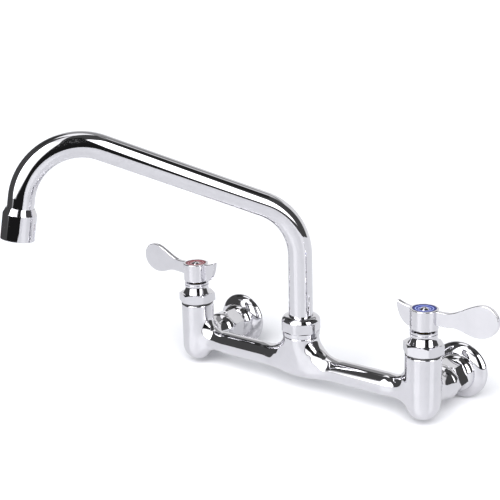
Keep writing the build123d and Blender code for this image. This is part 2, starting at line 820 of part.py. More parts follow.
# The spout turns on a grooved fitting in the pedestal and is held down by the bushing and the nut.
section = upright_section(0)
axis = upright_axis(0)
base_ring_heights = (
    base_shank_bottom + base_ring_start,
    base_shank_bottom + base_ring_start + base_ring_pitch,
)

with BuildPart() as spout_fitting:
    profile = outline(
        section,
        (base_bore_radius, base_shank_bottom),
        (base_shank_radius, base_shank_bottom),
        (base_shank_radius, base_flange_bottom),
        (spigot_radius - base_flange_inset, base_flange_bottom),
        (spigot_radius - base_flange_inset, base_flange_top),
        (tube_bore_radius - running, base_flange_top),
        (tube_bore_radius - running, base_flange_top + base_sleeve_length),
        (base_bore_radius, base_flange_top + base_sleeve_length),
    )
    revolve(profile, axis=axis)
    for height in base_ring_heights:
        groove = ring_outline(
            section,
            base_groove_radius,
            base_shank_radius,
            height - base_ring_section,
            height + base_ring_section,
        )
        revolve(groove, axis=axis, mode=Mode.SUBTRACT)
write(spout_fitting, "spout_fitting")

for place, height in zip(("lower", "upper"), base_ring_heights):
    with BuildPart() as spout_o_ring:
        with BuildSketch(section):
            with Locations((base_groove_radius + base_ring_section, height)):
                Circle(base_ring_section)
        revolve(axis=axis)
    write(spout_o_ring, f"spout_o_ring_{place}")

with BuildPart() as spout_bushing:
    profile = ring_outline(section, tube_radius + running, spigot_radius, bushing_bottom, bushing_top)
    revolve(profile, axis=axis)
write(spout_bushing, "spout_bushing")

# The nut has a plain ring at its foot, a hexagonal band for the wrench and a domed ring on top.
with BuildPart() as spout_nut:
    with BuildSketch(section):
        with BuildLine():
            mouth_radius = tube_radius + nut_mouth_gap
            dome_round = min(nut_dome_round, nut_radius - mouth_radius - nut_mouth_gap)
            crown = CenterArc((nut_radius - dome_round, nut_top - dome_round), dome_round, 0, 90)
            Polyline(
                crown @ 1,
                (mouth_radius, nut_top),
                (mouth_radius, bushing_top),
                (nut_bore_radius, bushing_top),
                (nut_bore_radius, nut_bottom),
                (boss_top_radius, nut_bottom),
                (nut_base_radius, nut_bottom + nut_bottom_chamfer),
                (nut_base_radius, nut_band_bottom),
                (nut_radius, nut_band_bottom + nut_base_step),
                crown @ 0,
            )
        make_face()
    revolve(axis=axis)
    with BuildSketch(level(0, nut_band_bottom)):
        Circle(2 * nut_radius)
        RegularPolygon(
            nut_radius - nut_flat_step,
            6,
            major_radius=False,
            rotation=nut_turn - 90,
            mode=Mode.SUBTRACT,
        )
    extrude(amount=nut_band_height, mode=Mode.SUBTRACT)
write(spout_nut, "spout_nut")

# The tube: a riser, a bend, a rising run and a longer bend down to the outlet
with BuildPart() as spout_tube:
    spout_plane = Plane(origin=(0, body_y, 0), x_dir=spout_heading, z_dir=-spout_across)
    with BuildLine(spout_plane) as tube_path:
        riser = Line((0, base_flange_top), (0, riser_top))
        first_bend = JernArc(riser @ 1, riser % 1, riser_bend_radius, run_rise - 90)
        run = PolarLine(first_bend @ 1, run_length, direction=first_bend % 1)
        end_bend = JernArc(run @ 1, run % 1, end_bend_radius, outlet_tilt - 90 - run_rise)
        outlet = PolarLine(end_bend @ 1, outlet_length, direction=end_bend % 1)
    with BuildSketch(level(0, base_flange_top)):
        Circle(tube_radius)
        Circle(tube_bore_radius, mode=Mode.SUBTRACT)
    sweep()
write(spout_tube, "spout_tube")

# The aerator's housing takes the tube's end; below it lie the washer, the screen and the slotted insert.
outlet_end = outlet @ 1
flow = outlet % 1
outlet_section = Plane(origin=outlet_end, x_dir=spout_across, z_dir=spout_across.cross(flow))
outlet_axis = Axis(outlet_end, flow)
washer_end = aerator_washer_thickness
screen_end = washer_end + screen_thickness
insert_end = aerator_outlet - aerator_lip_height


def outlet_face(along):
    """Plane square to the outlet, a distance past the tube's end."""
    return Plane(origin=outlet_end + flow * along, x_dir=spout_across, z_dir=flow)


with BuildPart() as aerator_housing:
    with BuildSketch(outlet_section) as housing_outline:
        with BuildLine():
            shoulder = aerator_flare_length - aerator_socket_depth
            Polyline(
                (aerator_bore_radius, -aerator_socket_depth),
                (aerator_bore_radius + aerator_edge_round, -aerator_socket_depth),
                (aerator_radius, shoulder),
                (aerator_radius, aerator_outlet),
                (aerator_bore_radius - aerator_lip_width, aerator_outlet),
                (aerator_bore_radius - aerator_lip_width, insert_end),
                (aerator_bore_radius, insert_end),
                close=True,
            )
        make_face()
        fillet(housing_outline.vertices().group_by(Axis.X)[-1], radius=aerator_edge_round)
    revolve(axis=outlet_axis)
write(aerator_housing, "aerator_housing")

with BuildPart() as aerator_washer:
    washer_outer = aerator_bore_radius - slip
    profile = ring_outline(outlet_section, washer_outer - aerator_washer_width, washer_outer, 0, washer_end)
    revolve(profile, axis=outlet_axis)
write(aerator_washer, "aerator_washer")

with BuildPart() as aerator_screen:
    with BuildSketch(outlet_face(washer_end)):
        Circle(aerator_bore_radius - slip)
    extrude(amount=screen_thickness)
    screen_count = int(2 * (aerator_bore_radius - screen_rim) / screen_pitch)
    with BuildSketch(outlet_face(washer_end)):
        with GridLocations(screen_pitch, screen_pitch, screen_count, screen_count):
            Rectangle(screen_hole, screen_hole)
        Circle(aerator_bore_radius - screen_rim, mode=Mode.INTERSECT)
    extrude(amount=screen_thickness, mode=Mode.SUBTRACT)
write(aerator_screen, "aerator_screen")

with BuildPart() as aerator_insert:
    with BuildSketch(outlet_face(screen_end)):
        Circle(aerator_bore_radius - slip)
    extrude(amount=insert_end - screen_end)
    slot_outer = aerator_bore_radius - slip - insert_wall
    with BuildSketch(outlet_face(screen_end)):
        with PolarLocations((insert_hub_radius + slot_outer) / 2, insert_slot_count):
            Rectangle(slot_outer - insert_hub_radius, insert_slot_width)
    extrude(amount=insert_end - screen_end, mode=Mode.SUBTRACT)
write(aerator_insert, "aerator_insert")
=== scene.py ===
import json
import math

import bpy
from mathutils import Matrix, Vector


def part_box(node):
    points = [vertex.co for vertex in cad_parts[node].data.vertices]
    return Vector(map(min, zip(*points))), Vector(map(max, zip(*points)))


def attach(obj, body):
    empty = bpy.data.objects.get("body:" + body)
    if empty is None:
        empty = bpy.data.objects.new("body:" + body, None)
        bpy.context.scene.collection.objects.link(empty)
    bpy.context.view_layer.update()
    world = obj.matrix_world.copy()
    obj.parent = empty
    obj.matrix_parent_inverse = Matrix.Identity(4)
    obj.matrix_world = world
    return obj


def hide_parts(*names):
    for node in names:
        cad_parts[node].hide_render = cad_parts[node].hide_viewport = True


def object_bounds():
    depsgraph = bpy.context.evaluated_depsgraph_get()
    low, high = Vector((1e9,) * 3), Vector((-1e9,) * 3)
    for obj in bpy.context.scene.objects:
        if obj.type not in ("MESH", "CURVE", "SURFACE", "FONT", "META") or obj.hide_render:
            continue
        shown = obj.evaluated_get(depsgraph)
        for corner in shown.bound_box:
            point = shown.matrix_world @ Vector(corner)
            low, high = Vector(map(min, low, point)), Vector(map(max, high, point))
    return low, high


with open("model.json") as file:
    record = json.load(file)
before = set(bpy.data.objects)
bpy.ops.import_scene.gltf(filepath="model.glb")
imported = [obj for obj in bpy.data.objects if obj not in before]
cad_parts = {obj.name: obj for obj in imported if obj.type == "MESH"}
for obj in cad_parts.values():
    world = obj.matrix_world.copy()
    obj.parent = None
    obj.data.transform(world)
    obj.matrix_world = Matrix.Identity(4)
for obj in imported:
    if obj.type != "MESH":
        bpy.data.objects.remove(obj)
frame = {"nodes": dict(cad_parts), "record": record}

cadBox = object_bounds()
nodes = frame["nodes"]
mm = 0.001
bpy.ops.object.select_all(action="DESELECT")
print("frame loaded:", len(nodes), "pieces")


# the camera that took the photo

camera = {
    "azimuth": 38.22,
    "elevation": 15.53,
    "roll": -1.63,
    "lens": 70.13,
    "sensor": 36,
    "clip": (0.01, 30),
    "distance": 0.7328,
    "lookedAt": (0, -0.0585, 0),
    "pixel": (301.60, 364.48),  # where that point is seen in a square frame of 500
    "frame": 500,
}


def placeCamera(values):
    around = math.radians(values["azimuth"])
    above = math.radians(values["elevation"])
    roll = math.radians(values["roll"])
    right = Vector((math.cos(around), math.sin(around), 0))
    back = Vector((math.sin(around) * math.cos(above), -math.cos(around) * math.cos(above), math.sin(above)))
    up = back.cross(right)
    turnedRight = right * math.cos(roll) + up * math.sin(roll)
    turnedUp = up * math.cos(roll) - right * math.sin(roll)
    focal = values["frame"] * values["lens"] / values["sensor"]
    aside = (values["pixel"][0] - values["frame"] / 2) * values["distance"] / focal
    lift = -(values["pixel"][1] - values["frame"] / 2) * values["distance"] / focal
    spot = Vector(values["lookedAt"]) - turnedRight * aside - turnedUp * lift + back * values["distance"]
    place = Matrix((turnedRight, turnedUp, back)).transposed().to_4x4()
    place.translation = spot
    bpy.ops.object.camera_add()
    eye = bpy.context.object
    eye.name = "photoCamera"
    eye.data.lens = values["lens"]
    eye.data.sensor_width = values["sensor"]
    eye.data.clip_start, eye.data.clip_end = values["clip"]
    eye.matrix_world = place
    bpy.context.scene.camera = eye


placeCamera(camera)
print("camera placed")


# node trees

def plug(tree, node, inputs):
    # each input takes another node's output, which is linked, or a plain value
    for name, value in dict(inputs).items():
        if isinstance(value, bpy.types.NodeSocket):
            tree.links.new(value, node.inputs[name])
        else:
            node.inputs[name].default_value = value


def addNode(tree, kind, place, inputs=(), **settings):
    node = tree.nodes.new(kind)
    node.location = place
    for name, value in settings.items():
        setattr(node, name, value)
    plug(tree, node, inputs)
    return node


def calculate(tree, operation, place, *values):
    node = addNode(tree, "ShaderNodeMath", place, enumerate(values), operation=operation)
    return node.outputs[0]


def spread(tree, value, low, high, place, limits=(0.3, 0.7), curve="LINEAR"):
    # takes a value between the limits to the range from low to high
    inputs = {"Value": value, "From Min": limits[0], "From Max": limits[1], "To Min": low, "To Max": high}
    return addNode(tree, "ShaderNodeMapRange", place, inputs, interpolation_type=curve).outputs[0]


def mixNumbers(tree, factor, first, second, place):
    inputs = {"Factor": factor, "A": first, "B": second}
    return addNode(tree, "ShaderNodeMix", place, inputs, data_type="FLOAT").outputs["Result"]


def mixColours(tree, factor, first, second, place, mode="MIX"):
    # the first colour may come from another node
    if isinstance(first, tuple):
        first = (*first, 1)
    inputs = {"Factor": factor, "A": first, "B": (*second, 1)}
    return addNode(tree, "ShaderNodeMix", place, inputs, data_type="RGBA", blend_type=mode).outputs["Result"]


def fromAxis(tree, vector, place):
    # the vector's distance from the Z axis, and its three parts
    x, y = place
    axes = addNode(tree, "ShaderNodeSeparateXYZ", place, {0: vector}).outputs
    flat = addNode(tree, "ShaderNodeCombineXYZ", (x + 150, y), {"X": axes["X"], "Y": axes["Y"]})
    out = addNode(tree, "ShaderNodeVectorMath", (x + 300, y), {0: flat.outputs[0]}, operation="LENGTH")
    return out.outputs["Value"], axes


def makeGroup(name, inputs, outputs):
    # an input is a number with its usual value, or a vector if that value is None
    group = bpy.data.node_groups.new(name, "ShaderNodeTree")
    for label, value in inputs.items():
        kind = "NodeSocketVector" if value is None else "NodeSocketFloat"
        socket = group.interface.new_socket(label, in_out="INPUT", socket_type=kind)
        if value is not None:
            socket.default_value = value
    for label in outputs:
        group.interface.new_socket(label, in_out="OUTPUT", socket_type="NodeSocketFloat")
    return group, addNode(group, "NodeGroupInput", (-900, 0)).outputs


# studio

studio = {
    "floorSize": (5, 3.6),
    "floorTurn": 42,          # its front edge faces the camera
    "floorFront": 0.70,       # from the object to that edge
    "floorLeft": -0.48,       # its left edge, which darkens the outlet's left side
    "floorColour": (0.86, 0.86, 0.875),
    "floorShadedForReflections": (0.655, 0.655, 0.66),  # the same floor as the plating sees it, darker: painted shade on the floor, seen in reflections only
    "floorSheen": 0.055,
    "floorRoughness": 0.15,
    "daylight": (0.30, 0.35),  # lights all but the plating: at the horizon, and what overhead adds
    "daylightTint": (0.93, 0.95, 1.0),
    "keyLight": {"name": "keyLight", "angle": 25, "height": 38, "wide": 38, "tall": 18, "light": 7.4,
                 "edge": 8},
    "backdrop": 1.3,          # what the camera sees behind the object
    "room": 0.07,             # the grey walls that the plating mirrors
    "edge": 2.5,              # softness of a panel's edge, in degrees
}

# each panel stands at a compass angle (0 is in front, 90 at the right) and a height, both in degrees
panels = [
    {"name": "ceilingFront", "angle": -5, "height": 75, "wide": 25, "tall": 15, "light": 1.1},
    {"name": "leftUpperFlag", "angle": -98, "height": 48, "wide": 24, "tall": 9, "light": 0.035},
    {"name": "backSweep", "angle": -165, "height": 8, "wide": 45, "tall": 24, "light": 0.85},
    {"name": "backSweepTop", "angle": -165, "height": 47, "wide": 45, "tall": 15, "light": 0.34},
    {"name": "backFlag", "angle": 150, "height": 51, "wide": 30, "tall": 6, "light": 0.02},
    {"name": "backTopBox", "angle": 167, "height": 47, "wide": 7, "tall": 9, "light": 0.85},
    {"name": "ceilingBox", "angle": -135, "height": 76, "wide": 50, "tall": 12, "light": 1.3},
    {"name": "frontFill", "angle": 4, "height": 33, "wide": 33, "tall": 33, "light": 1.6},
    {"name": "frontBox", "angle": -11, "height": 33, "wide": 17, "tall": 31, "light": 6, "edge": 6},
    {"name": "rightBox", "angle": 84, "height": 24, "wide": 14, "tall": 22, "light": 4.2},
    {"name": "lensGap", "angle": 54, "height": 22, "wide": 15, "tall": 38, "light": 0.012},
    {"name": "tableEdge", "angle": 17, "height": -7, "wide": 44, "tall": 6.5, "light": 0.012},
]


def makePanelGroup():
    # 1 on the panel, 0 beside it, with a soft edge
    group, given = makeGroup(
        "softPanel",
        {"Angle": 0, "Height": 0, "Panel Angle": 0, "Panel Height": 0, "Wide": 20, "Tall": 20, "Edge": 3},
        ["Mask"])
    masks = []
    for row, (seen, half) in enumerate((("Angle", "Wide"), ("Height", "Tall"))):
        drop = -300 * row
        off = calculate(group, "SUBTRACT", (-700, drop), given[seen], given["Panel " + seen])
        around = calculate(group, "WRAP", (-520, drop), off, 180, -180)
        away = calculate(group, "ABSOLUTE", (-340, drop), around)
        inner = calculate(group, "SUBTRACT", (-340, drop - 120), given[half], given["Edge"])
        outer = calculate(group, "ADD", (-340, drop - 240), given[half], given["Edge"])
        masks.append(spread(group, away, 1, 0, (-100, drop), (inner, outer), "SMOOTHSTEP"))
    both = calculate(group, "MULTIPLY", (300, 0), *masks)
    addNode(group, "NodeGroupOutput", (700, 0), {"Mask": both})
    return group


def lightRoom(values, panels):
    # the camera sees the backdrop, the plating mirrors the panels, and the rest is lit by soft daylight
    world = bpy.data.worlds.new("studioRoom")
    bpy.context.scene.world = world
    world.use_nodes = True
    tree = world.node_tree
    tree.nodes.clear()
    place = addNode(tree, "ShaderNodeTexCoord", (-1400, 0))
    axes = addNode(tree, "ShaderNodeSeparateXYZ", (-1200, 0), {0: place.outputs["Generated"]}).outputs
    front = calculate(tree, "MULTIPLY", (-1000, 100), axes["Y"], -1)
    turn = calculate(tree, "ARCTAN2", (-820, 100), axes["X"], front)
    lift = calculate(tree, "ARCSINE", (-820, -100), axes["Z"])
    angle = calculate(tree, "DEGREES", (-640, 100), turn)
    height = calculate(tree, "DEGREES", (-640, -100), lift)
    group = makePanelGroup()

    def maskOf(panel, place):
        inputs = {"Angle": angle, "Height": height, "Panel Angle": panel["angle"],
                  "Panel Height": panel["height"], "Wide": panel["wide"], "Tall": panel["tall"],
                  "Edge": panel.get("edge", values["edge"])}
        node = addNode(tree, "ShaderNodeGroup", place, node_tree=group, name=panel["name"])
        plug(tree, node, inputs)
        return node.outputs["Mask"]

    level = values["room"]
    for count, panel in enumerate(panels):
        across = 200 * count - 400
        level = mixNumbers(tree, maskOf(panel, (across, -300)), level, panel["light"], (across, 100))
    mirrored = addNode(tree, "ShaderNodeBackground", (1600, 100), {"Color": (1, 1, 1, 1), "Strength": level})
    horizon, overhead = values["daylight"]
    sky = calculate(tree, "MULTIPLY_ADD", (1000, -400), axes["Z"], overhead, horizon)
    key = maskOf(values["keyLight"], (1000, -650))
    lit = calculate(tree, "MULTIPLY_ADD", (1200, -400), key, values["keyLight"]["light"], sky)
    ray = addNode(tree, "ShaderNodeLightPath", (1600, 400)).outputs
    daylight = addNode(tree, "ShaderNodeBackground", (1600, -100), {
        "Strength": mixNumbers(tree, ray["Is Camera Ray"], lit, values["backdrop"], (1400, -300)),
        "Color": mixColours(tree, key, values["daylightTint"], (1, 1, 1), (1400, -550)),
    })
    choice = addNode(tree, "ShaderNodeMixShader", (1850, 0), {
        0: ray["Is Glossy Ray"], 1: daylight.outputs[0], 2: mirrored.outputs[0]})
    addNode(tree, "ShaderNodeOutputWorld", (2050, 0), {"Surface": choice.outputs[0]})


def makeFloorMaterial(values):
    material = bpy.data.materials.new("paleFloor")
    material.use_nodes = True
    tree = material.node_tree
    tree.nodes.clear()
    mirrored = addNode(tree, "ShaderNodeLightPath", (-600, 300)).outputs["Is Glossy Ray"]
    # reflections see the darker floor colour, which is painted shade; the camera and the daylight see the
    # pale one
    colour = mixColours(tree, mirrored, values["floorColour"], values["floorShadedForReflections"], (-300, 200))
    sheen = calculate(tree, "MULTIPLY", (-300, -100), mirrored, values["floorSheen"])
    matt = addNode(tree, "ShaderNodeBsdfDiffuse", (0, 150), {"Color": colour})
    gloss = addNode(tree, "ShaderNodeBsdfGlossy", (0, -50), {"Roughness": values["floorRoughness"]})
    surface = addNode(tree, "ShaderNodeMixShader", (250, 100), {
        0: sheen, 1: matt.outputs[0], 2: gloss.outputs[0]})
    addNode(tree, "ShaderNodeOutputMaterial", (450, 100), {"Surface": surface.outputs[0]})
    return material


def layFloor(values, low):
    turn = math.radians(values["floorTurn"])
    wide, deep = values["floorSize"]
    ahead = Vector((math.sin(turn), -math.cos(turn), 0))
    middle = ahead * (values["floorFront"] - deep / 2)
    bpy.ops.mesh.primitive_plane_add(
        size=1, location=(middle.x, middle.y, low), rotation=(0, 0, turn))
    floor = bpy.context.object
    floor.name = "floor"
    floor.scale = (wide, deep, 1)
    bpy.ops.object.transform_apply(location=True, rotation=True, scale=True)
    bpy.ops.object.mode_set(mode="EDIT")
    bpy.ops.mesh.select_all(action="SELECT")
    bpy.ops.mesh.bisect(plane_co=(values["floorLeft"], 0, low), plane_no=(-1, 0, 0), clear_outer=True)
    bpy.ops.object.mode_set(mode="OBJECT")
    floor.data.materials.append(makeFloorMaterial(values))


layFloor(studio, cadBox[0].z)
lightRoom(studio, panels)
bpy.context.scene.view_settings.view_transform = "Standard"
print("studio lit")


# finishes

def makePolishMarks():
    # buffed metal: a slow ripple in the surface, fine scratches that lie two ways, and a faint haze
    group, given = makeGroup(
        "polishMarks", {"Vector": None, "Ripple Scale": 45, "Scratch Scale": 2400},
        ["Ripple", "Scratch", "Haze"])
    ripple = addNode(group, "ShaderNodeTexNoise", (-500, 400), {
        "Vector": given["Vector"], "Scale": given["Ripple Scale"], "Detail": 1})
    haze = addNode(group, "ShaderNodeTexNoise", (-500, 100), {
        "Vector": given["Vector"], "Scale": 110, "Detail": 5, "Roughness": 0.6})
    lines = []
    twoWays = ((0.3, 0.2, 0.9), (-0.5, 0.8, -0.4))
    thin = (0.66, 0.74)       # the narrow part of the noise that shows as a scratch
    for row, turn in enumerate(twoWays):
        drop = -250 * row - 150
        stretch = addNode(group, "ShaderNodeMapping", (-700, drop), {
            "Vector": given["Vector"], "Rotation": turn, "Scale": (0.03, 1, 1)})
        scratch = addNode(group, "ShaderNodeTexNoise", (-500, drop), {
            "Vector": stretch.outputs["Vector"], "Scale": given["Scratch Scale"], "Detail": 2})
        lines.append(spread(group, scratch.outputs["Fac"], 0, 1, (-250, drop), thin, "SMOOTHSTEP"))
    addNode(group, "NodeGroupOutput", (900, 0), {
        "Ripple": ripple.outputs["Fac"],
        "Scratch": calculate(group, "MAXIMUM", (0, -200), *lines),
        "Haze": haze.outputs["Fac"],
    })
    return group


def makeTurnedGrooves():
    # rings that a lathe tool leaves; the vector's Z runs along the turned axis
    group, given = makeGroup("turnedGrooves", {"Vector": None, "Grooves": 9000, "Wander": 1.5}, ["Height"])
    out, axes = fromAxis(group, given["Vector"], (-700, 200))
    along = calculate(group, "ADD", (-150, 100), out, axes["Z"])
    count = calculate(group, "MULTIPLY", (0, 100), along, given["Grooves"])
    drift = addNode(group, "ShaderNodeTexNoise", (-320, -200), {
        "Vector": given["Vector"], "Scale": 160, "Detail": 3})
    sway = calculate(group, "MULTIPLY", (-120, -150), drift.outputs["Fac"], given["Wander"])
    shifted = calculate(group, "ADD", (160, 50), count, sway)
    wave = calculate(group, "SINE", (320, 50), shifted)
    addNode(group, "NodeGroupOutput", (900, 0), {"Height": wave})
    return group


def makeFineGrain():
    # small pits and clouded tone for bare, fired or moulded surfaces
    group, given = makeGroup(
        "fineGrain", {"Vector": None, "Grain Scale": 900, "Cloud Scale": 90}, ["Grain", "Cloud"])
    grain = addNode(group, "ShaderNodeTexNoise", (-500, 300), {
        "Vector": given["Vector"], "Scale": given["Grain Scale"], "Detail": 6, "Roughness": 0.65})
    cloud = addNode(group, "ShaderNodeTexNoise", (-500, 0), {
        "Vector": given["Vector"], "Scale": given["Cloud Scale"], "Detail": 4})
    addNode(group, "NodeGroupOutput", (900, 0), {
        "Grain": grain.outputs["Fac"], "Cloud": cloud.outputs["Fac"]})
    return group


polishMarks = makePolishMarks()
turnedGrooves = makeTurnedGrooves()
fineGrain = makeFineGrain()


def newMaterial(name, metallic=0, ior=1.5, coat=0):
    material = bpy.data.materials.new(name)
    material.use_nodes = True
    tree = material.node_tree
    shader = tree.nodes["Principled BSDF"]
    plug(tree, shader, {"Metallic": metallic, "IOR": ior, "Coat Weight": coat, "Coat Roughness": 0.05})
    return material, tree, shader


def bump(tree, height, depth, place, under=None):
    # depth is the real height of the marks, in millimetres
    inputs = {"Distance": depth * mm, "Strength": 1, "Height": height}
    if under:
        inputs["Normal"] = under
    return addNode(tree, "ShaderNodeBump", place, inputs).outputs["Normal"]


def atAxis(tree, where=(0, 0, 0), turn=(0, 0, 0)):
    # Object coordinates moved to a piece's own axis, which becomes Z
    place = addNode(tree, "ShaderNodeTexCoord", (-1300, 0))
    inputs = {"Location": where, "Rotation": turn, "Vector": place.outputs["Object"]}
    return addNode(tree, "ShaderNodeMapping", (-1100, 0), inputs, vector_type="TEXTURE").outputs["Vector"]


def addMarks(tree, group, place, inputs):
    node = addNode(tree, "ShaderNodeGroup", place, node_tree=group)
    plug(tree, node, inputs)
    return node.outputs


plating = {
    "clean": (0.768, 0.762, 0.798),
    "dull": (0.725, 0.719, 0.755),
    "roughness": (0.018, 0.045),
    "scratched": 0.06,        # roughness of a scratch
    "grooveDepth": 0.00012,
    "dullFrom": (0.45, 0.75),  # share of the haze that starts to dull the plating, and that dulls it fully
    # how many ripples and how high, for each way of making the surface
    "ripples": {"cast": (32, 0.010), "drawn": (24, 0.006), "lever": (60, 0.006), "turned": (40, 0.003)},
}


def makeChrome(name, values, made, where=(0, 0, 0), turn=(0, 0, 0), grooves=0):
    material, tree, shader = newMaterial(name, metallic=1)
    vector = atAxis(tree, where, turn)
    rippleScale, rippleDepth = values["ripples"][made]
    marks = addMarks(tree, polishMarks, (-850, 100), {"Vector": vector, "Ripple Scale": rippleScale})
    haze = spread(tree, marks["Haze"], *values["roughness"], (-600, 0))
    dull = spread(tree, marks["Haze"], 0, 1, (-600, 300), values["dullFrom"])
    normal = bump(tree, marks["Ripple"], rippleDepth, (-400, -300))
    if grooves:
        rings = addMarks(tree, turnedGrooves, (-850, -300), {"Vector": vector, "Grooves": grooves})
        normal = bump(tree, rings["Height"], values["grooveDepth"], (-200, -300), normal)
    plug(tree, shader, {
        "Base Color": mixColours(tree, dull, values["clean"], values["dull"], (-400, 300)),
        "Roughness": mixNumbers(tree, marks["Scratch"], haze, values["scratched"], (-400, 0)),
        "Normal": normal,
    })
    return material


# grooves are counted in radians per metre, and depths are in millimetres
brass = {"tones": ((0.80, 0.62, 0.30), (0.58, 0.42, 0.19)), "roughness": (0.16, 0.34),
         "grooves": 16000, "grooveDepth": 0.0003}
grease = {"tones": ((0.16, 0.12, 0.06), (0.05, 0.04, 0.02)), "roughness": (0.35, 0.5),
          "grooves": 16000, "grooveDepth": 0.0003}
steel = {"tones": ((0.66, 0.66, 0.67), (0.50, 0.50, 0.52)), "roughness": (0.20, 0.38),
         "grooves": 15000, "grooveDepth": 0.0002}
rubber = {"tones": ((0.012, 0.012, 0.013), (0.045, 0.045, 0.047)), "roughness": (0.48, 0.75),
          "grain": 1400, "depth": 0.012}
ceramic = {"tones": ((0.86, 0.84, 0.79), (0.78, 0.75, 0.69)), "roughness": (0.12, 0.30),
           "grain": 2200, "depth": 0.002}
plastic = {"tones": ((0.80, 0.80, 0.79), (0.71, 0.71, 0.71)), "roughness": (0.34, 0.55),
           "grain": 1100, "depth": 0.006}


def grainedLook(tree, shader, grain, values, normal):
    # the tone follows the clouds, and the roughness follows the grain
    tone = spread(tree, grain["Cloud"], 0, 1, (-600, 300))
    plug(tree, shader, {
        "Base Color": mixColours(tree, tone, *values["tones"], (-400, 300)),
        "Roughness": spread(tree, grain["Grain"], *values["roughness"], (-600, 0)),
        "Normal": normal,
    })


def makeBareMetal(name, values, where=(0, 0, 0), turn=(0, 0, 0), pitDepth=0.004):
    material, tree, shader = newMaterial(name, metallic=1)
    vector = atAxis(tree, where, turn)
    grain = addMarks(tree, fineGrain, (-850, 200), {"Vector": vector})
    rings = addMarks(tree, turnedGrooves, (-850, -200), {"Vector": vector, "Grooves": values["grooves"]})
    normal = bump(tree, rings["Height"], values["grooveDepth"], (-400, -300))
    normal = bump(tree, grain["Grain"], pitDepth, (-200, -300), normal)
    grainedLook(tree, shader, grain, values, normal)
    return material


def makeMoulded(name, values, ior, coat=0):
    material, tree, shader = newMaterial(name, ior=ior, coat=coat)
    grain = addMarks(tree, fineGrain, (-850, 0), {"Vector": atAxis(tree), "Grain Scale": values["grain"]})
    grainedLook(tree, shader, grain, values, bump(tree, grain["Grain"], values["depth"], (-400, -300)))
    return material


valvePlaces = {"hot": (-0.1016, -0.0585, 0), "cold": (0.1016, -0.0585, 0)}
supplyPlaces = {"hot": (-0.1016, 0, 0), "cold": (0.1016, 0, 0)}
spoutPlace = (0, -0.0585, 0)
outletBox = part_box("aerator_housing")
outletPlace = tuple((outletBox[0] + outletBox[1]) / 2)
towardsWall = (math.pi / 2, 0, 0)
latheGrooves = 12000

castChrome = makeChrome("castChrome", plating, "cast")
drawnChrome = makeChrome("drawnChrome", plating, "drawn")
leverChrome = makeChrome("leverChrome", plating, "lever")
outletChrome = makeChrome("turnedChromeOutlet", plating, "turned", outletPlace)
turnedChrome = {}
turnedBrass = {}
for part, place in {"spout": spoutPlace, **valvePlaces}.items():
    turnedChrome[part] = makeChrome(
        "turnedChrome" + part.title(), plating, "turned", place, grooves=latheGrooves)
    turnedBrass[part] = makeBareMetal("turnedBrass" + part.title(), brass, place)
supplyChrome = {}
greasedBrass = {}
for side in valvePlaces:
    supplyChrome[side] = makeChrome(
        "turnedChromeSupply" + side.title(), plating, "turned", supplyPlaces[side], towardsWall,
        latheGrooves)
    greasedBrass[side] = makeBareMetal("greasedBrass" + side.title(), grease, valvePlaces[side])
stampedSteel = makeBareMetal("stampedSteel", steel, turn=(0, 0.3, 0))
sealRubber = makeMoulded("sealRubber", rubber, 1.52)
firedCeramic = makeMoulded("firedCeramic", ceramic, 1.76, 0.3)
mouldedPlastic = makeMoulded("mouldedPlastic", plastic, 1.46)

print("finishes made")


# modelling

latheTurn = 1.3               # degrees, so that no corner of a lathe's circle falls on a prism's corner
mergeWithin = 0.002           # millimetres between points that are one
beyond = 5                    # how far a cutting prism reaches past the piece


def pick(piece):
    bpy.ops.object.select_all(action="DESELECT")
    piece.select_set(True)
    bpy.context.view_layer.objects.active = piece


def change(piece, kind, **settings):
    # adds a modifier and applies it
    pick(piece)
    modifier = piece.modifiers.new(kind.lower(), kind)
    for name, value in settings.items():
        setattr(modifier, name, value)
    bpy.ops.object.modifier_apply(modifier=modifier.name)


def copyOf(pattern, name):
    # a copy with its own mesh
    twin = pattern.copy()
    twin.data = pattern.data.copy()
    twin.name = name
    bpy.context.collection.objects.link(twin)
    return twin


def turnOnLathe(name, profile, segments=96):
    # the profile is (radius, height) in mm, and runs once round the section
    radius, height = profile[0]
    bpy.ops.object.select_all(action="DESELECT")
    bpy.ops.mesh.primitive_circle_add(
        vertices=segments, radius=radius * mm, location=(0, 0, height * mm),
        rotation=(0, 0, math.radians(latheTurn)))
    piece = bpy.context.object
    piece.name = name
    bpy.ops.object.transform_apply(location=True, rotation=True, scale=False)
    bpy.ops.object.mode_set(mode="EDIT")
    for newRadius, newHeight in profile[1:]:
        step = (0, 0, (newHeight - height) * mm)
        bpy.ops.mesh.extrude_edges_move(TRANSFORM_OT_translate={"value": step})
        ratio = newRadius / radius
        bpy.ops.transform.resize(value=(ratio, ratio, 1), center_override=(0, 0, newHeight * mm))
        radius, height = newRadius, newHeight
    bpy.ops.mesh.select_all(action="SELECT")
    bpy.ops.mesh.remove_doubles(threshold=mergeWithin * mm)
    bpy.ops.mesh.fill_holes(sides=0)
    bpy.ops.mesh.select_all(action="SELECT")
    bpy.ops.mesh.normals_make_consistent(inside=False)
    bpy.ops.object.mode_set(mode="OBJECT")
    return piece


def roundedOff(start, corner, end, steps=5):
    # points of a smooth curve from start to end that leans towards the corner
    points = []
    for step in range(steps + 1):
        share = step / steps
        points.append(tuple(
            (1 - share) ** 2 * a + 2 * share * (1 - share) * b + share**2 * c
            for a, b, c in zip(start, corner, end)))
    return points


def cutWith(piece, tool, operation):
    # joins, cuts or trims the piece by the tool, which is then thrown away
    change(piece, "BOOLEAN", object=tool, operation=operation, solver="EXACT")
    bpy.data.objects.remove(tool, do_unlink=True)


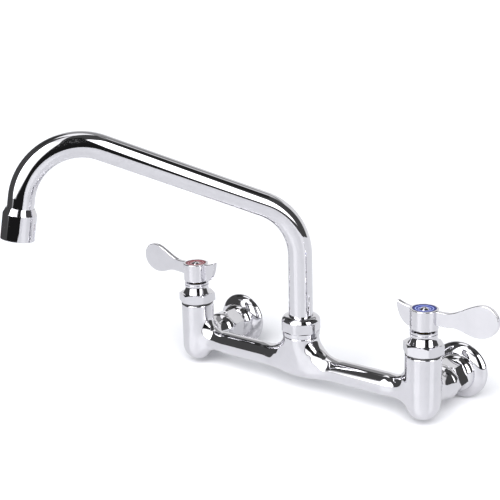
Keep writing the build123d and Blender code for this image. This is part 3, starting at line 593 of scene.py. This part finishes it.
def addPrism(sides, flatRadius, low, high, turn=0):
    # an upright prism, one of its flats facing the turned -Y
    bpy.ops.object.select_all(action="DESELECT")
    bpy.ops.mesh.primitive_cylinder_add(
        vertices=sides, radius=flatRadius / math.cos(math.pi / sides) * mm, depth=(high - low) * mm,
        location=(0, 0, (low + high) / 2 * mm), rotation=(0, 0, math.radians(turn + 180 / sides)))
    bpy.ops.object.transform_apply(location=True, rotation=True, scale=False)
    return bpy.context.object


def softenEdges(piece, width, segments=3, angle=25):
    pick(piece)
    bpy.ops.object.shade_smooth()
    change(piece, "BEVEL", width=width * mm, segments=segments, limit_method="ANGLE",
           angle_limit=math.radians(angle), harden_normals=True)


def setAt(piece, place):
    piece.location = place
    pick(piece)
    bpy.ops.object.transform_apply(location=True, rotation=True, scale=True)


def setCopy(pattern, name, place, turn=0, laidDown=False):
    # a copy turned about its axis, laid towards the front if asked, and put in its place
    twin = copyOf(pattern, name)
    twin.rotation_mode = "ZYX"
    twin.rotation_euler = (math.pi / 2 if laidDown else 0, 0, math.radians(turn))
    setAt(twin, place)
    return twin


def finishPiece(piece, material, body, node):
    # gives the piece its material and puts it in the place of the node
    piece.data.materials.clear()
    piece.data.materials.append(material)
    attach(piece, body)
    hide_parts(node)


# cast body

castBody = {
    "grid": 0.75,            # size of the skin's faces, in mm
    "even": 5,               # passes that even out the whole skin
    "ease": 0.5,             # how far one pass moves a point towards its neighbours
    # where the casting's parts run into one another: middle, reach and passes
    "blends": [
        {"at": (-89, -58.5, 1), "reach": (17, 18, 18), "passes": 110},
        {"at": (89, -58.5, 1), "reach": (17, 18, 18), "passes": 110},
        {"at": (-101.6, -44, -1), "reach": (17, 10, 18), "passes": 130},
        {"at": (101.6, -44, -1), "reach": (17, 10, 18), "passes": 130},
        {"at": (0, -58.5, 9), "reach": (36, 16, 13.5), "passes": 90},
    ],
    "shares": (1, 0.75),     # each blend is eased over all of its reach, then over this share
    "valveX": 101.6,
    "axisY": -58.5,
    "barRise": 2,
    # radii about the bores in which nothing moves, and where each of those ends
    "keptBore": 10.9,
    "keptStub": 8.5,
    "keptBar": 7.4,
    "chamberFloor": -6,
    "socketFloor": 6,
    "stubRoot": -45,
    "barEnd": 112,
    "rims": (29.4, 22.6),    # heights of the machined rims of the barrels and of the pedestal
    "pedestalReach": 40,
}


def chosenSkin(mesh, values):
    # the outer skin, without the bores and the machined rims
    chosen = []
    for corner in mesh.vertices:
        x, y, z = corner.co / mm
        away = abs(x) - values["valveX"]
        forward = y - values["axisY"]
        aside = math.hypot(forward, z - values["barRise"])
        kept = (
            math.hypot(away, forward) < values["keptBore"] and z > values["chamberFloor"],
            math.hypot(x, forward) < values["keptBore"] and z > values["socketFloor"],
            math.hypot(away, z) < values["keptStub"] and y > values["stubRoot"],
            aside < values["keptBar"] and abs(x) < values["barEnd"],
            z > values["rims"][0],
            z > values["rims"][1] and abs(x) < values["pedestalReach"],
        )
        if not any(kept):
            chosen.append(corner.index)
    return chosen


def easeSkin(piece, chosen, passes, factor):
    mesh = piece.data
    for parts in (mesh.polygons, mesh.edges, mesh.vertices):
        parts.foreach_set("select", [False] * len(parts))
    for index in chosen:
        mesh.vertices[index].select = True
    bpy.ops.object.mode_set(mode="EDIT")
    bpy.ops.mesh.select_mode(type="VERT")
    bpy.ops.mesh.vertices_smooth(factor=factor, repeat=passes)
    bpy.ops.object.mode_set(mode="OBJECT")


def makeCastBody(values):
    # a merged copy of the casting gets one even skin, and its joins are eased into wide blends
    body = copyOf(nodes["faucet_body"], "castFaucetBody")
    pick(body)
    bpy.ops.object.mode_set(mode="EDIT")
    bpy.ops.mesh.select_all(action="SELECT")
    bpy.ops.mesh.remove_doubles(threshold=0.001 * mm)
    bpy.ops.object.mode_set(mode="OBJECT")
    change(body, "REMESH", mode="VOXEL", voxel_size=values["grid"] * mm, use_smooth_shade=True)
    chosen = chosenSkin(body.data, values)
    for blend in values["blends"]:
        for share in values["shares"]:
            near = []
            for index in chosen:
                place = body.data.vertices[index].co / mm
                away = [(a - b) / (share * c) for a, b, c in zip(place, blend["at"], blend["reach"])]
                if sum(part * part for part in away) < 1:
                    near.append(index)
            easeSkin(body, near, blend["passes"], values["ease"])
    easeSkin(body, chosen, values["even"], values["ease"])
    return body


body = makeCastBody(castBody)
finishPiece(body, castChrome, "body", "faucet_body")
print("cast body made:", len(body.data.polygons), "faces")


# bonnets

bonnet = {
    "hexBottom": 31.9,
    "hexTop": 39.7,
    "flat": 12.7,
    "corner": 14.66,
    "bevel": 0.98,
    "neckRoot": 11.0,
    "neckWaist": 9.0,
    "neckBow": 0.35,
    "collarBottom": 45.1,
    "top": 48.3,
    "collarLip": 0.6,
    "groove": (46.5, 47.1),  # from, to
    "grooveDepth": 0.9,
    "chamfer": 0.1,          # of the collar's foot and of the groove
    "relief": (11.7, 32.25),  # radius and top of the recess under the hex
    "skirtBottom": 27.7,
    "skirt": 10.7,
    "bore": 8.2,
    "shoulder": 37.2,
    "upperBore": 6.4,
    "roof": 46.1,
    "stemBore": 4.6,
    "edge": 0.22,
    "turn": {"hot": 30, "cold": 71},
}


def makeBonnet(values):
    neckMiddle = (
        (values["neckRoot"] + values["neckWaist"]) / 2 - 2 * values["neckBow"],
        (values["hexTop"] + values["collarBottom"]) / 2)
    collar = values["neckWaist"] + values["collarLip"]
    inGroove = collar - values["grooveDepth"]
    low, high = values["groove"]
    profile = [
        (values["bore"], values["skirtBottom"]),
        (values["skirt"], values["skirtBottom"]),
        (values["skirt"], values["hexBottom"]),
        (values["relief"][0], values["hexBottom"]),
        values["relief"],
        (values["flat"], values["relief"][1]),
        (values["corner"], values["relief"][1] + values["bevel"]),
        (values["corner"], values["hexTop"] - values["bevel"]),
        (values["flat"], values["hexTop"]),
        *roundedOff((values["neckRoot"], values["hexTop"]), neckMiddle,
                    (values["neckWaist"], values["collarBottom"]), 8),
        (collar, values["collarBottom"] + values["chamfer"]),
        (collar, low),
        (inGroove, low + values["chamfer"]),
        (inGroove, high - values["chamfer"]),
        (collar, high),
        (collar, values["top"]),
        (values["stemBore"], values["top"]),
        (values["stemBore"], values["roof"]),
        (values["upperBore"], values["roof"]),
        (values["upperBore"], values["shoulder"]),
        (values["bore"], values["shoulder"]),
        (values["bore"], values["skirtBottom"]),
    ]
    piece = turnOnLathe("bonnetPattern", profile)
    prism = addPrism(6, values["flat"], values["skirtBottom"] - beyond, values["top"] + beyond)
    cutWith(piece, prism, "INTERSECT")
    softenEdges(piece, values["edge"])
    return piece


pattern = makeBonnet(bonnet)
for side, place in valvePlaces.items():
    piece = setCopy(pattern, side + "BonnetHex", place, bonnet["turn"][side])
    finishPiece(piece, turnedChrome[side], "body", side + "_bonnet")
bpy.data.objects.remove(pattern, do_unlink=True)
print("bonnets made")


# spout nut

spoutNut = {
    "bottom": 24.6,
    "chamfer": 0.5,
    "baseRadius": 13.8,
    "radius": 14.4,
    "step": 0.6,
    "bandBottom": 28.0,
    "bandTop": 35.2,
    "flatStep": 1.4,
    "top": 39.94,
    "domeRound": 4.5,
    "mouth": 9.15,
    "roofBottom": 37.64,
    "bore": 11.7,
    "turn": -15,
    "edge": 0.25,
}


def makeSpoutNut(values):
    centre = (values["radius"] - values["domeRound"], values["top"] - values["domeRound"])
    dome = []
    for step in range(9):
        angle = math.pi / 2 * step / 8
        out, up = math.cos(angle), math.sin(angle)
        dome.append((centre[0] + values["domeRound"] * out, centre[1] + values["domeRound"] * up))
    profile = [
        (values["bore"], values["bottom"]),
        (values["baseRadius"] - values["chamfer"], values["bottom"]),
        (values["baseRadius"], values["bottom"] + values["chamfer"]),
        (values["baseRadius"], values["bandBottom"]),
        (values["radius"], values["bandBottom"] + values["step"]),
        *dome,
        (values["mouth"], values["top"]),
        (values["mouth"], values["roofBottom"]),
        (values["bore"], values["roofBottom"]),
        (values["bore"], values["bottom"]),
    ]
    piece = turnOnLathe("spoutNutBanded", profile, 128)
    low, high = values["bandBottom"], values["bandTop"]
    cutter = addPrism(32, values["radius"] * 2, low, high)
    prism = addPrism(6, values["radius"] - values["flatStep"], low - beyond, high + beyond, values["turn"])
    cutWith(cutter, prism, "DIFFERENCE")
    cutWith(piece, cutter, "DIFFERENCE")
    softenEdges(piece, values["edge"])
    setAt(piece, spoutPlace)
    finishPiece(piece, turnedChrome["spout"], "body", "spout_nut")


makeSpoutNut(spoutNut)
print("spout nut made")


# coupling nuts

couplingNut = {
    "front": 26.8,
    "flat": 11.8,
    "corner": 13.62,
    "bevel": 0.91,
    "collarBore": 7.6,
    "collarFront": 16.2,
    "threadBore": 9.1,
    "back": 14.2,
    "edge": 0.22,
    "turn": {"hot": 20, "cold": 54},
}


def makeCouplingNut(values):
    profile = [
        (values["collarBore"], values["back"]),
        (values["flat"], values["back"]),
        (values["corner"], values["back"] + values["bevel"]),
        (values["corner"], values["front"] - values["bevel"]),
        (values["flat"], values["front"]),
        (values["threadBore"], values["front"]),
        (values["threadBore"], values["collarFront"]),
        (values["collarBore"], values["collarFront"]),
        (values["collarBore"], values["back"]),
    ]
    piece = turnOnLathe("couplingPattern", profile)
    prism = addPrism(6, values["flat"], values["back"] - beyond, values["front"] + beyond)
    cutWith(piece, prism, "INTERSECT")
    softenEdges(piece, values["edge"])
    return piece


pattern = makeCouplingNut(couplingNut)
for side, place in supplyPlaces.items():
    piece = setCopy(pattern, side + "CouplingHex", place, couplingNut["turn"][side], True)
    finishPiece(piece, supplyChrome[side], "body", side + "_coupling_nut")
bpy.data.objects.remove(pattern, do_unlink=True)
print("coupling nuts made")


# index rings and screws

indexRing = {
    "seat": 62.8,
    "top": 64.0,
    "inner": 3.9,
    "outer": 8.2,
    "rim": 1.9,
    "dish": 0.4,
    "chamfer": 0.15,
    "innerRim": (0.5, 0.02),  # how far the rim's inner edge stands out, and how far below the top
    "lineHeight": 0.28,
    "lineSlope": (0.12, 0.1),  # inside and outside the raised line
    "lineFoot": 0.05,
    "edge": 0.12,
    # from the bore outwards: bright seat, band, fine line, outer band; the pale fine line is a painted
    # highlight along the raised line, and the colour is darker towards the rim
    "tones": {"hot": ((0.45, 0.30, 0.31), (0.17, 0.035, 0.045), (0.50, 0.24, 0.26), (0.16, 0.026, 0.036)),
              "cold": ((0.25, 0.28, 0.55), (0.02, 0.035, 0.22), (0.32, 0.38, 0.74), (0.008, 0.013, 0.145))},
    "toneEdges": (4.5, 5.75, 6.45),
    "toneSoftness": 0.12,
    "worn": (0.82, 0.82, 0.84),
    "wear": 0.6,              # the most of it that shows
    "roughness": (0.22, 0.38),
    "grain": 1600,
    "clouds": 260,
    "depth": 0.003,
    "slot": {"hot": "index_red", "cold": "index_blue"},
}
handleScrew = {
    "seat": 61.7,
    "headTop": 62.8,
    "dome": 2.0,
    "fullness": 0.62,         # of the dome
    "head": 3.4,
    "shank": 2.0,
    "tip": 50.7,
    "tipChamfer": 0.4,
    "core": 0.05,             # radius of the small holes that the lathe leaves on the axis and fills
    "slotWidth": 0.5,
    "slotLength": 2.4,
    "slotDepth": 0.8,
    "slotTurn": 20,
    "edge": 0.08,
    "turn": {"hot": 35, "cold": 0},
}


def radiusBands(tree, vector, edges, tones, soft):
    # colours that change with the distance from the piece's axis
    out = fromAxis(tree, vector, (-1100, 500))[0]
    colour = tones[0]
    for count, edge in enumerate(edges):
        limits = ((edge - soft) * mm, (edge + soft) * mm)
        factor = spread(tree, out, 0, 1, (-600 + 200 * count, 600), limits)
        colour = mixColours(tree, factor, colour, tones[count + 1], (-400 + 200 * count, 500))
    return colour


def makeIndexPaintAndHighlight(side, values):
    # satin ring with a pale line between two darker bands; the pale line is a painted highlight
    material, tree, shader = newMaterial(side + "IndexPaintAndHighlight", ior=1.22)
    vector = atAxis(tree, valvePlaces[side])
    # the bands by radius paint a highlight on the raised line into the ring's colour
    bandsWithPaintedHighlight = radiusBands(tree, vector, values["toneEdges"], values["tones"][side], values["toneSoftness"])
    grain = addMarks(tree, fineGrain, (-850, 0), {
        "Vector": vector, "Grain Scale": values["grain"], "Cloud Scale": values["clouds"]})
    faded = spread(tree, grain["Cloud"], 0, values["wear"], (-600, 200))
    plug(tree, shader, {
        "Base Color": mixColours(tree, faded, bandsWithPaintedHighlight, values["worn"], (0, 300), "MULTIPLY"),
        "Roughness": spread(tree, grain["Grain"], *values["roughness"], (-600, 0)),
        "Normal": bump(tree, grain["Grain"], values["depth"], (-400, -300)),
    })
    return material


def makeIndexRing(values):
    # a raised line stands between the two bands
    line = values["toneEdges"][1:]
    low = values["top"] - values["dish"]
    rimOut, rimDrop = values["innerRim"]
    inside, outside = values["lineSlope"]
    profile = [
        (values["inner"], values["seat"]),
        (values["outer"], values["seat"]),
        (values["outer"], values["top"] - values["chamfer"]),
        (values["outer"] - values["chamfer"], values["top"]),
        (values["outer"] - values["rim"] + rimOut, values["top"] - rimDrop),
        (line[1] + outside, low + values["lineFoot"]),
        (line[1], low + values["lineHeight"]),
        (line[0], low + values["lineHeight"]),
        (line[0] - inside, low),
        (values["inner"], low),
        (values["inner"], values["seat"]),
    ]
    piece = turnOnLathe("indexPattern", profile, 72)
    softenEdges(piece, values["edge"], 2)
    return piece


def makeHandleScrew(values):
    top = values["headTop"] + values["dome"]
    lean = (values["head"] * values["fullness"], top)
    crown = roundedOff((values["head"], values["headTop"]), lean, (values["core"], top), 8)
    profile = [
        (values["core"], values["tip"]),
        (values["shank"] - values["tipChamfer"], values["tip"]),
        (values["shank"], values["tip"] + values["tipChamfer"]),
        (values["shank"], values["seat"]),
        (values["head"], values["seat"]),
        *crown,
    ]
    piece = turnOnLathe("screwPattern", profile, 64)
    for turn in (0, 90):
        bpy.ops.object.select_all(action="DESELECT")
        bpy.ops.mesh.primitive_cube_add(
            size=1, location=(0, 0, top * mm), rotation=(0, 0, math.radians(turn + values["slotTurn"])))
        slot = bpy.context.object
        slot.scale = (values["slotLength"] * mm, values["slotWidth"] * mm, 2 * values["slotDepth"] * mm)
        bpy.ops.object.transform_apply(location=True, rotation=True, scale=True)
        cutWith(piece, slot, "DIFFERENCE")
    softenEdges(piece, values["edge"], 2)
    return piece


ringPattern = makeIndexRing(indexRing)
screwPattern = makeHandleScrew(handleScrew)
for side, place in valvePlaces.items():
    ring = setCopy(ringPattern, side + "IndexBand", place)
    paintAndHighlight = makeIndexPaintAndHighlight(side, indexRing)
    finishPiece(ring, paintAndHighlight, side + "_lever", side + "_index_ring")
    screw = setCopy(screwPattern, side + "DomedScrew", place, handleScrew["turn"][side])
    finishPiece(screw, turnedChrome[side], side + "_lever", side + "_handle_screw")
for pattern in (ringPattern, screwPattern):
    bpy.data.objects.remove(pattern, do_unlink=True)
print("index rings and screws made")


# lever handles

# heights are above the bottom of the hub, and the blade's points are (outwards, up)
leverHandle = {
    "bottom": 49.5,
    "hubRadius": 9.8,
    "hubHeight": 14.5,
    "bottomRound": 1.3,
    "topRound": 0.6,
    "hollow": 7.6,
    "hollowTop": 1.6,
    "stemBore": 4.0,
    "stemTop": 9.6,
    "screwBore": 2.1,
    "screwSeat": 12.2,
    "screwHead": 3.5,
    "ringSeat": 13.3,
    "ringBore": 8.3,
    "thickness": 3.4,
    "edge": 1.1,              # round of the blade's edges
    "rimEdge": 0.2,
    "neckTop": 14.0,
    "neckEnd": 15.5,
    "crest": (43.0, 24.1),
    "tip": (53.5, 13.7),
    "belly": (38.5, 1.4),
    "throat": (22.8, 5.0),
    "throatRoot": (9.0, 3.8),
    "rootInset": 1.5,         # the fin's root inside the hub
    "heel": -5,               # where the lower edge drops to the fin's foot
    "finTip": (-20.6, 16.8),
    "tipBlunt": (0.7, 0.25),
    "finFoot": (-11.6, 0.4),
    "finBelly": (-19.6, 4.4),
    "finScoop": (-14.0, 14.4),
    "coreInset": 1.2,         # the plate is cut away this far inside the hub
    "fullness": (2, 2.1),     # of the blade's end, above and below its tip
    "turn": {"hot": 180, "cold": 0},
}


def sweepTo(start, end, steps=10):
    # a curve that leaves one point level and comes to the other one level
    points = []
    for step in range(1, steps + 1):
        share = step / steps
        rise = share * share * (3 - 2 * share)
        points.append((start[0] + (end[0] - start[0]) * share, start[1] + (end[1] - start[1]) * rise))
    return points


def roundTo(start, end, lean, steps=12):
    # a quarter of an oval between two points, fuller as lean grows; it leaves the first one level
    points = []
    for step in range(1, steps + 1):
        angle = math.pi / 2 * step / steps
        across = math.sin(angle) ** (2 / lean)
        along = 1 - math.cos(angle) ** (2 / lean)
        points.append((start[0] + (end[0] - start[0]) * across, start[1] + (end[1] - start[1]) * along))
    return points


def leverOutline(values):
    root = (-values["hubRadius"] + values["rootInset"], values["neckTop"])
    foot, tip = values["finFoot"], values["finTip"]
    blunt = (tip[0] + values["tipBlunt"][0], tip[1] + values["tipBlunt"][1])
    points = [(values["neckEnd"], values["neckTop"])]
    points += sweepTo(points[-1], values["crest"], 14)
    above, below = values["fullness"]
    points += roundTo(values["crest"], values["tip"], above, 12)
    points += list(reversed(roundTo(values["belly"], values["tip"], below, 14)))[1:]
    points.append(values["belly"])
    points += sweepTo(values["belly"], values["throat"], 8)
    points += [values["throatRoot"], (0, values["throatRoot"][1]), (values["heel"], foot[1]), foot]
    points += roundedOff(foot, values["finBelly"], tip, 10)[1:]
    points += roundedOff(blunt, values["finScoop"], root, 6)
    return points


def cutPlate(name, outline, thickness):
    # draws the outline point by point in the XZ plane, fills it and gives it its thickness
    bpy.ops.object.select_all(action="DESELECT")
    first = outline[0]
    bpy.ops.mesh.primitive_plane_add(
        size=mm, location=(first[0] * mm, -thickness / 2 * mm, first[1] * mm))
    plate = bpy.context.object
    plate.name = name
    bpy.ops.object.transform_apply(location=True, rotation=False, scale=False)
    bpy.ops.object.mode_set(mode="EDIT")
    bpy.ops.mesh.select_all(action="SELECT")
    bpy.ops.mesh.merge(type="CENTER")
    for start, end in zip(outline, outline[1:]):
        step = ((end[0] - start[0]) * mm, 0, (end[1] - start[1]) * mm)
        bpy.ops.mesh.extrude_vertices_move(TRANSFORM_OT_translate={"value": step})
    bpy.ops.mesh.select_all(action="SELECT")
    bpy.ops.mesh.edge_face_add()
    bpy.ops.mesh.select_all(action="SELECT")
    bpy.ops.mesh.extrude_region_move(TRANSFORM_OT_translate={"value": (0, thickness * mm, 0)})
    bpy.ops.mesh.select_all(action="SELECT")
    bpy.ops.mesh.normals_make_consistent(inside=False)
    bpy.ops.object.mode_set(mode="OBJECT")
    return plate


def makeHub(values):
    low, radius = values["bottom"], values["hubRadius"]
    top = low + values["hubHeight"]
    foot, crown = values["bottomRound"], values["topRound"]
    profile = [
        (values["hollow"], low),
        *roundedOff((radius - foot, low), (radius, low), (radius, low + foot)),
        *roundedOff((radius, top - crown), (radius, top), (radius - crown, top)),
        (values["ringBore"], top),
        (values["ringBore"], low + values["ringSeat"]),
        (values["screwHead"], low + values["ringSeat"]),
        (values["screwHead"], low + values["screwSeat"]),
        (values["screwBore"], low + values["screwSeat"]),
        (values["screwBore"], low + values["stemTop"]),
        (values["stemBore"], low + values["stemTop"]),
        (values["stemBore"], low + values["hollowTop"]),
        (values["hollow"], low + values["hollowTop"]),
        (values["hollow"], low),
    ]
    return turnOnLathe("leverHub", profile)


def makeLeverHandle(values):
    low = values["bottom"]
    plate = cutPlate("leverPlate", [(x, z + low) for x, z in leverOutline(values)], values["thickness"])
    radius = values["hubRadius"] - values["coreInset"]
    core = turnOnLathe("leverCore", [(radius, low - 1), (radius, low + values["hubHeight"] + 1)])
    softenEdges(plate, values["edge"], 4, 40)
    cutWith(plate, core, "DIFFERENCE")
    handle = makeHub(values)
    cutWith(handle, plate, "UNION")
    softenEdges(handle, values["rimEdge"], 2, 40)
    # broad faces stay flat, and the light turns on the small ones at their edges
    change(handle, "WEIGHTED_NORMAL", mode="FACE_AREA", keep_sharp=True)
    return handle


pattern = makeLeverHandle(leverHandle)
for side, place in valvePlaces.items():
    handle = setCopy(pattern, side + "LeverPaddle", place, leverHandle["turn"][side])
    finishPiece(handle, leverChrome, side + "_lever", side + "_handle")
bpy.data.objects.remove(pattern, do_unlink=True)
print("lever handles made")


# wall flanges

wallFlange = {
    "radius": 21.4,
    "rimWidth": 1.3,
    "backChamfer": 0.4,
    "step": (14.4, 6.7),
    "nose": (11.6, 13.4),
    "domeBulge": 0.9,
    "noseBulge": 0.7,
    "nipple": 7.5,
    "collarBack": 16.2,
    "collar": 8.9,
    "collarFront": 18.3,
    "bore": 5.5,
    "threadEnd": 11.0,
    "threadInner": 8.9,
    "threadOuter": 9.6,
    "pitch": 1.8,
    "edge": 0.25,
}


def makeWallFlange(values):
    rim = (values["radius"], values["rimWidth"])
    step, nose = values["step"], values["nose"]
    bulge = values["domeBulge"]
    domeCorner = ((rim[0] + step[0]) / 2 + 2 * bulge, (rim[1] + step[1]) / 2 + 2 * bulge)
    bulge = values["noseBulge"]
    noseCorner = ((step[0] + nose[0]) / 2 + 2 * bulge, (step[1] + nose[1]) / 2 + bulge)
    thread = []
    height = values["threadEnd"]
    while height > values["pitch"]:
        thread.append((values["threadOuter"], height - values["pitch"] / 2))
        thread.append((values["threadInner"], height - values["pitch"]))
        height -= values["pitch"]
    profile = [
        (values["threadOuter"], 0.0),
        (values["radius"] - values["backChamfer"], 0.0),
        (values["radius"], values["backChamfer"]),
        *roundedOff(rim, domeCorner, step, 12),
        *roundedOff(step, noseCorner, nose, 8)[1:],
        (values["nipple"], values["nose"][1]),
        (values["nipple"], values["collarBack"]),
        (values["collar"], values["collarBack"]),
        (values["collar"], values["collarFront"]),
        (values["bore"], values["collarFront"]),
        (values["bore"], values["threadEnd"]),
        (values["threadInner"], values["threadEnd"]),
        *thread,
        (values["threadOuter"], 0.0),
    ]
    piece = turnOnLathe("flangePattern", profile, 128)
    softenEdges(piece, values["edge"], 2, 35)
    return piece


pattern = makeWallFlange(wallFlange)
for side, place in supplyPlaces.items():
    piece = setCopy(pattern, side + "FlangeDome", place, 0, True)
    finishPiece(piece, supplyChrome[side], "body", side + "_inlet_flange")
bpy.data.objects.remove(pattern, do_unlink=True)
print("wall flanges made")


# the pieces that keep their own shape

ownChrome = {"spout_tube": drawnChrome, "hot_handle": leverChrome, "cold_handle": leverChrome,
             "aerator_housing": outletChrome}
slotMaterials = {"rubber": sealRubber, "ceramic": firedCeramic, "plastic": mouldedPlastic,
                 "steel": stampedSteel}
for entry in frame["record"]["subparts"]:
    name = entry["node"]
    side = name.split("_")[0]
    if name in ownChrome:
        material = ownChrome[name]
    elif name.endswith("_stem"):
        material = greasedBrass[side]
    elif entry["material_slot"] == "brass":
        material = turnedBrass[side]
    elif entry["material_slot"] in slotMaterials:
        material = slotMaterials[entry["material_slot"]]
    else:
        material = castChrome
    for slot in nodes[name].material_slots:
        slot.material = material
print("finishes given")
